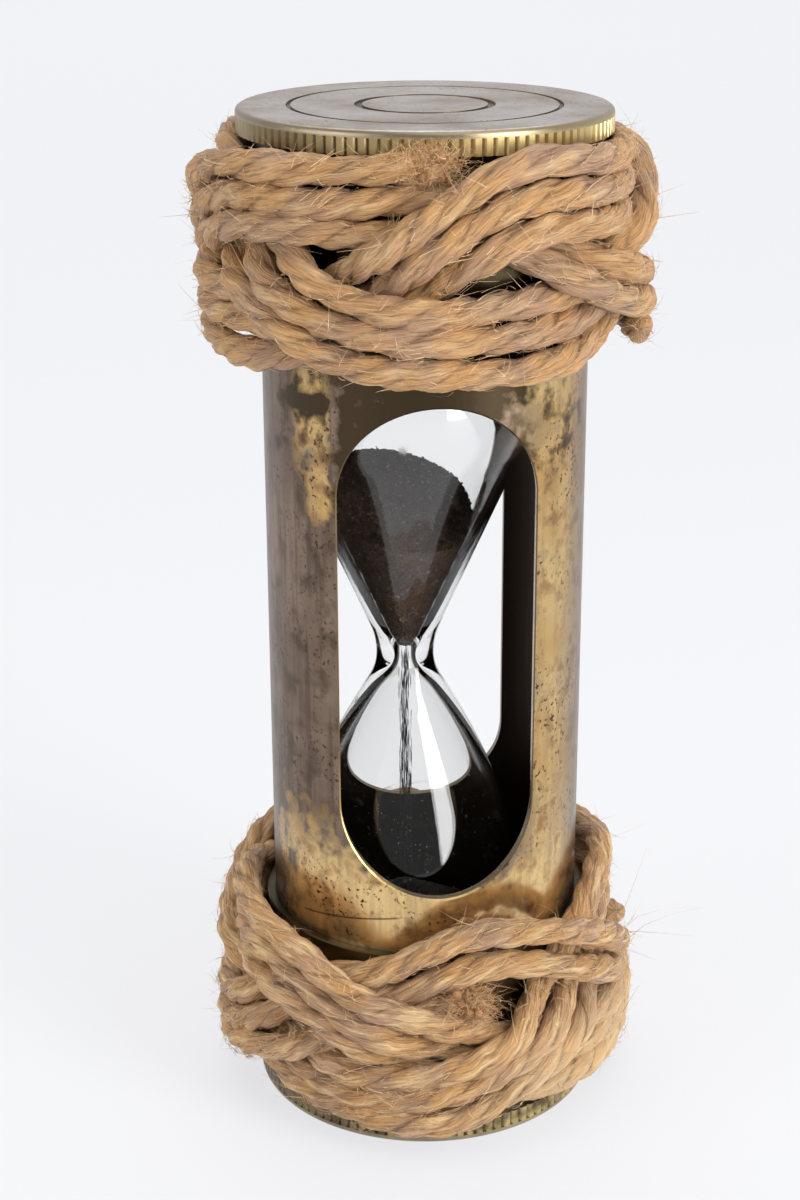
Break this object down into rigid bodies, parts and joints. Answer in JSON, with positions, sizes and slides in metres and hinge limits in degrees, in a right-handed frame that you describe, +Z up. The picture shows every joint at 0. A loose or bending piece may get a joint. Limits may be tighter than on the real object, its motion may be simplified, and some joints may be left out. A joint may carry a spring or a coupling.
{
  "type": "hourglass",
  "caption": "Hourglass: a blown glass bulb in a windowed brass tube, closed by push-on knurled caps that are bound in knotted rope. The caps turn and pull off.",
  "frame": {"origin": "centre of the bottom cap's outer face", "axes": "+Z up along the tube's axis, the front window facing -Y"},
  "size_m": [0.0644, 0.0645, 0.15],
  "materials": {
    "tube_brass": "aged, with a brown patina",
    "cap_brass": "dull and tarnished",
    "glass": "clear, blown",
    "sand": "loose fine black grain",
    "rope": "hairy natural fibre",
    "felt": "dark felt"
  },
  "bodies": {
    "case": {"body_tube": "tube_brass", "glass_ampoule": "glass", "upper_sand": "sand", "lower_sand": "sand", "sand_stream": "sand"},
    "bottom_pad": {"bottom_packing_pad": "felt"},
    "bottom_cap": {"bottom_cap_plate": "cap_brass", "bottom_cap_sleeve": "cap_brass", "bottom_rope_knot": "rope"},
    "top_pad": {"top_packing_pad": "felt"},
    "top_cap": {"top_cap_plate": "cap_brass", "top_cap_sleeve": "cap_brass", "top_rope_knot": "rope"}
  },
  "joints": [
    {"name": "bottom_cap_lift", "type": "slide", "parent": "case", "child": "bottom_pad", "axis": [0, 0, -1], "range_m": [0, 0.03]},
    {"name": "bottom_cap_turn", "type": "hinge", "parent": "bottom_pad", "child": "bottom_cap", "pos_m": [0, 0, 0], "axis": [0, 0, 1], "continuous": true},
    {"name": "top_cap_lift", "type": "slide", "parent": "case", "child": "top_pad", "axis": [0, 0, 1], "range_m": [0, 0.03]},
    {"name": "top_cap_turn", "type": "hinge", "parent": "top_pad", "child": "top_cap", "pos_m": [0, 0, 0.15], "axis": [0, 0, 1], "continuous": true}
  ]
}
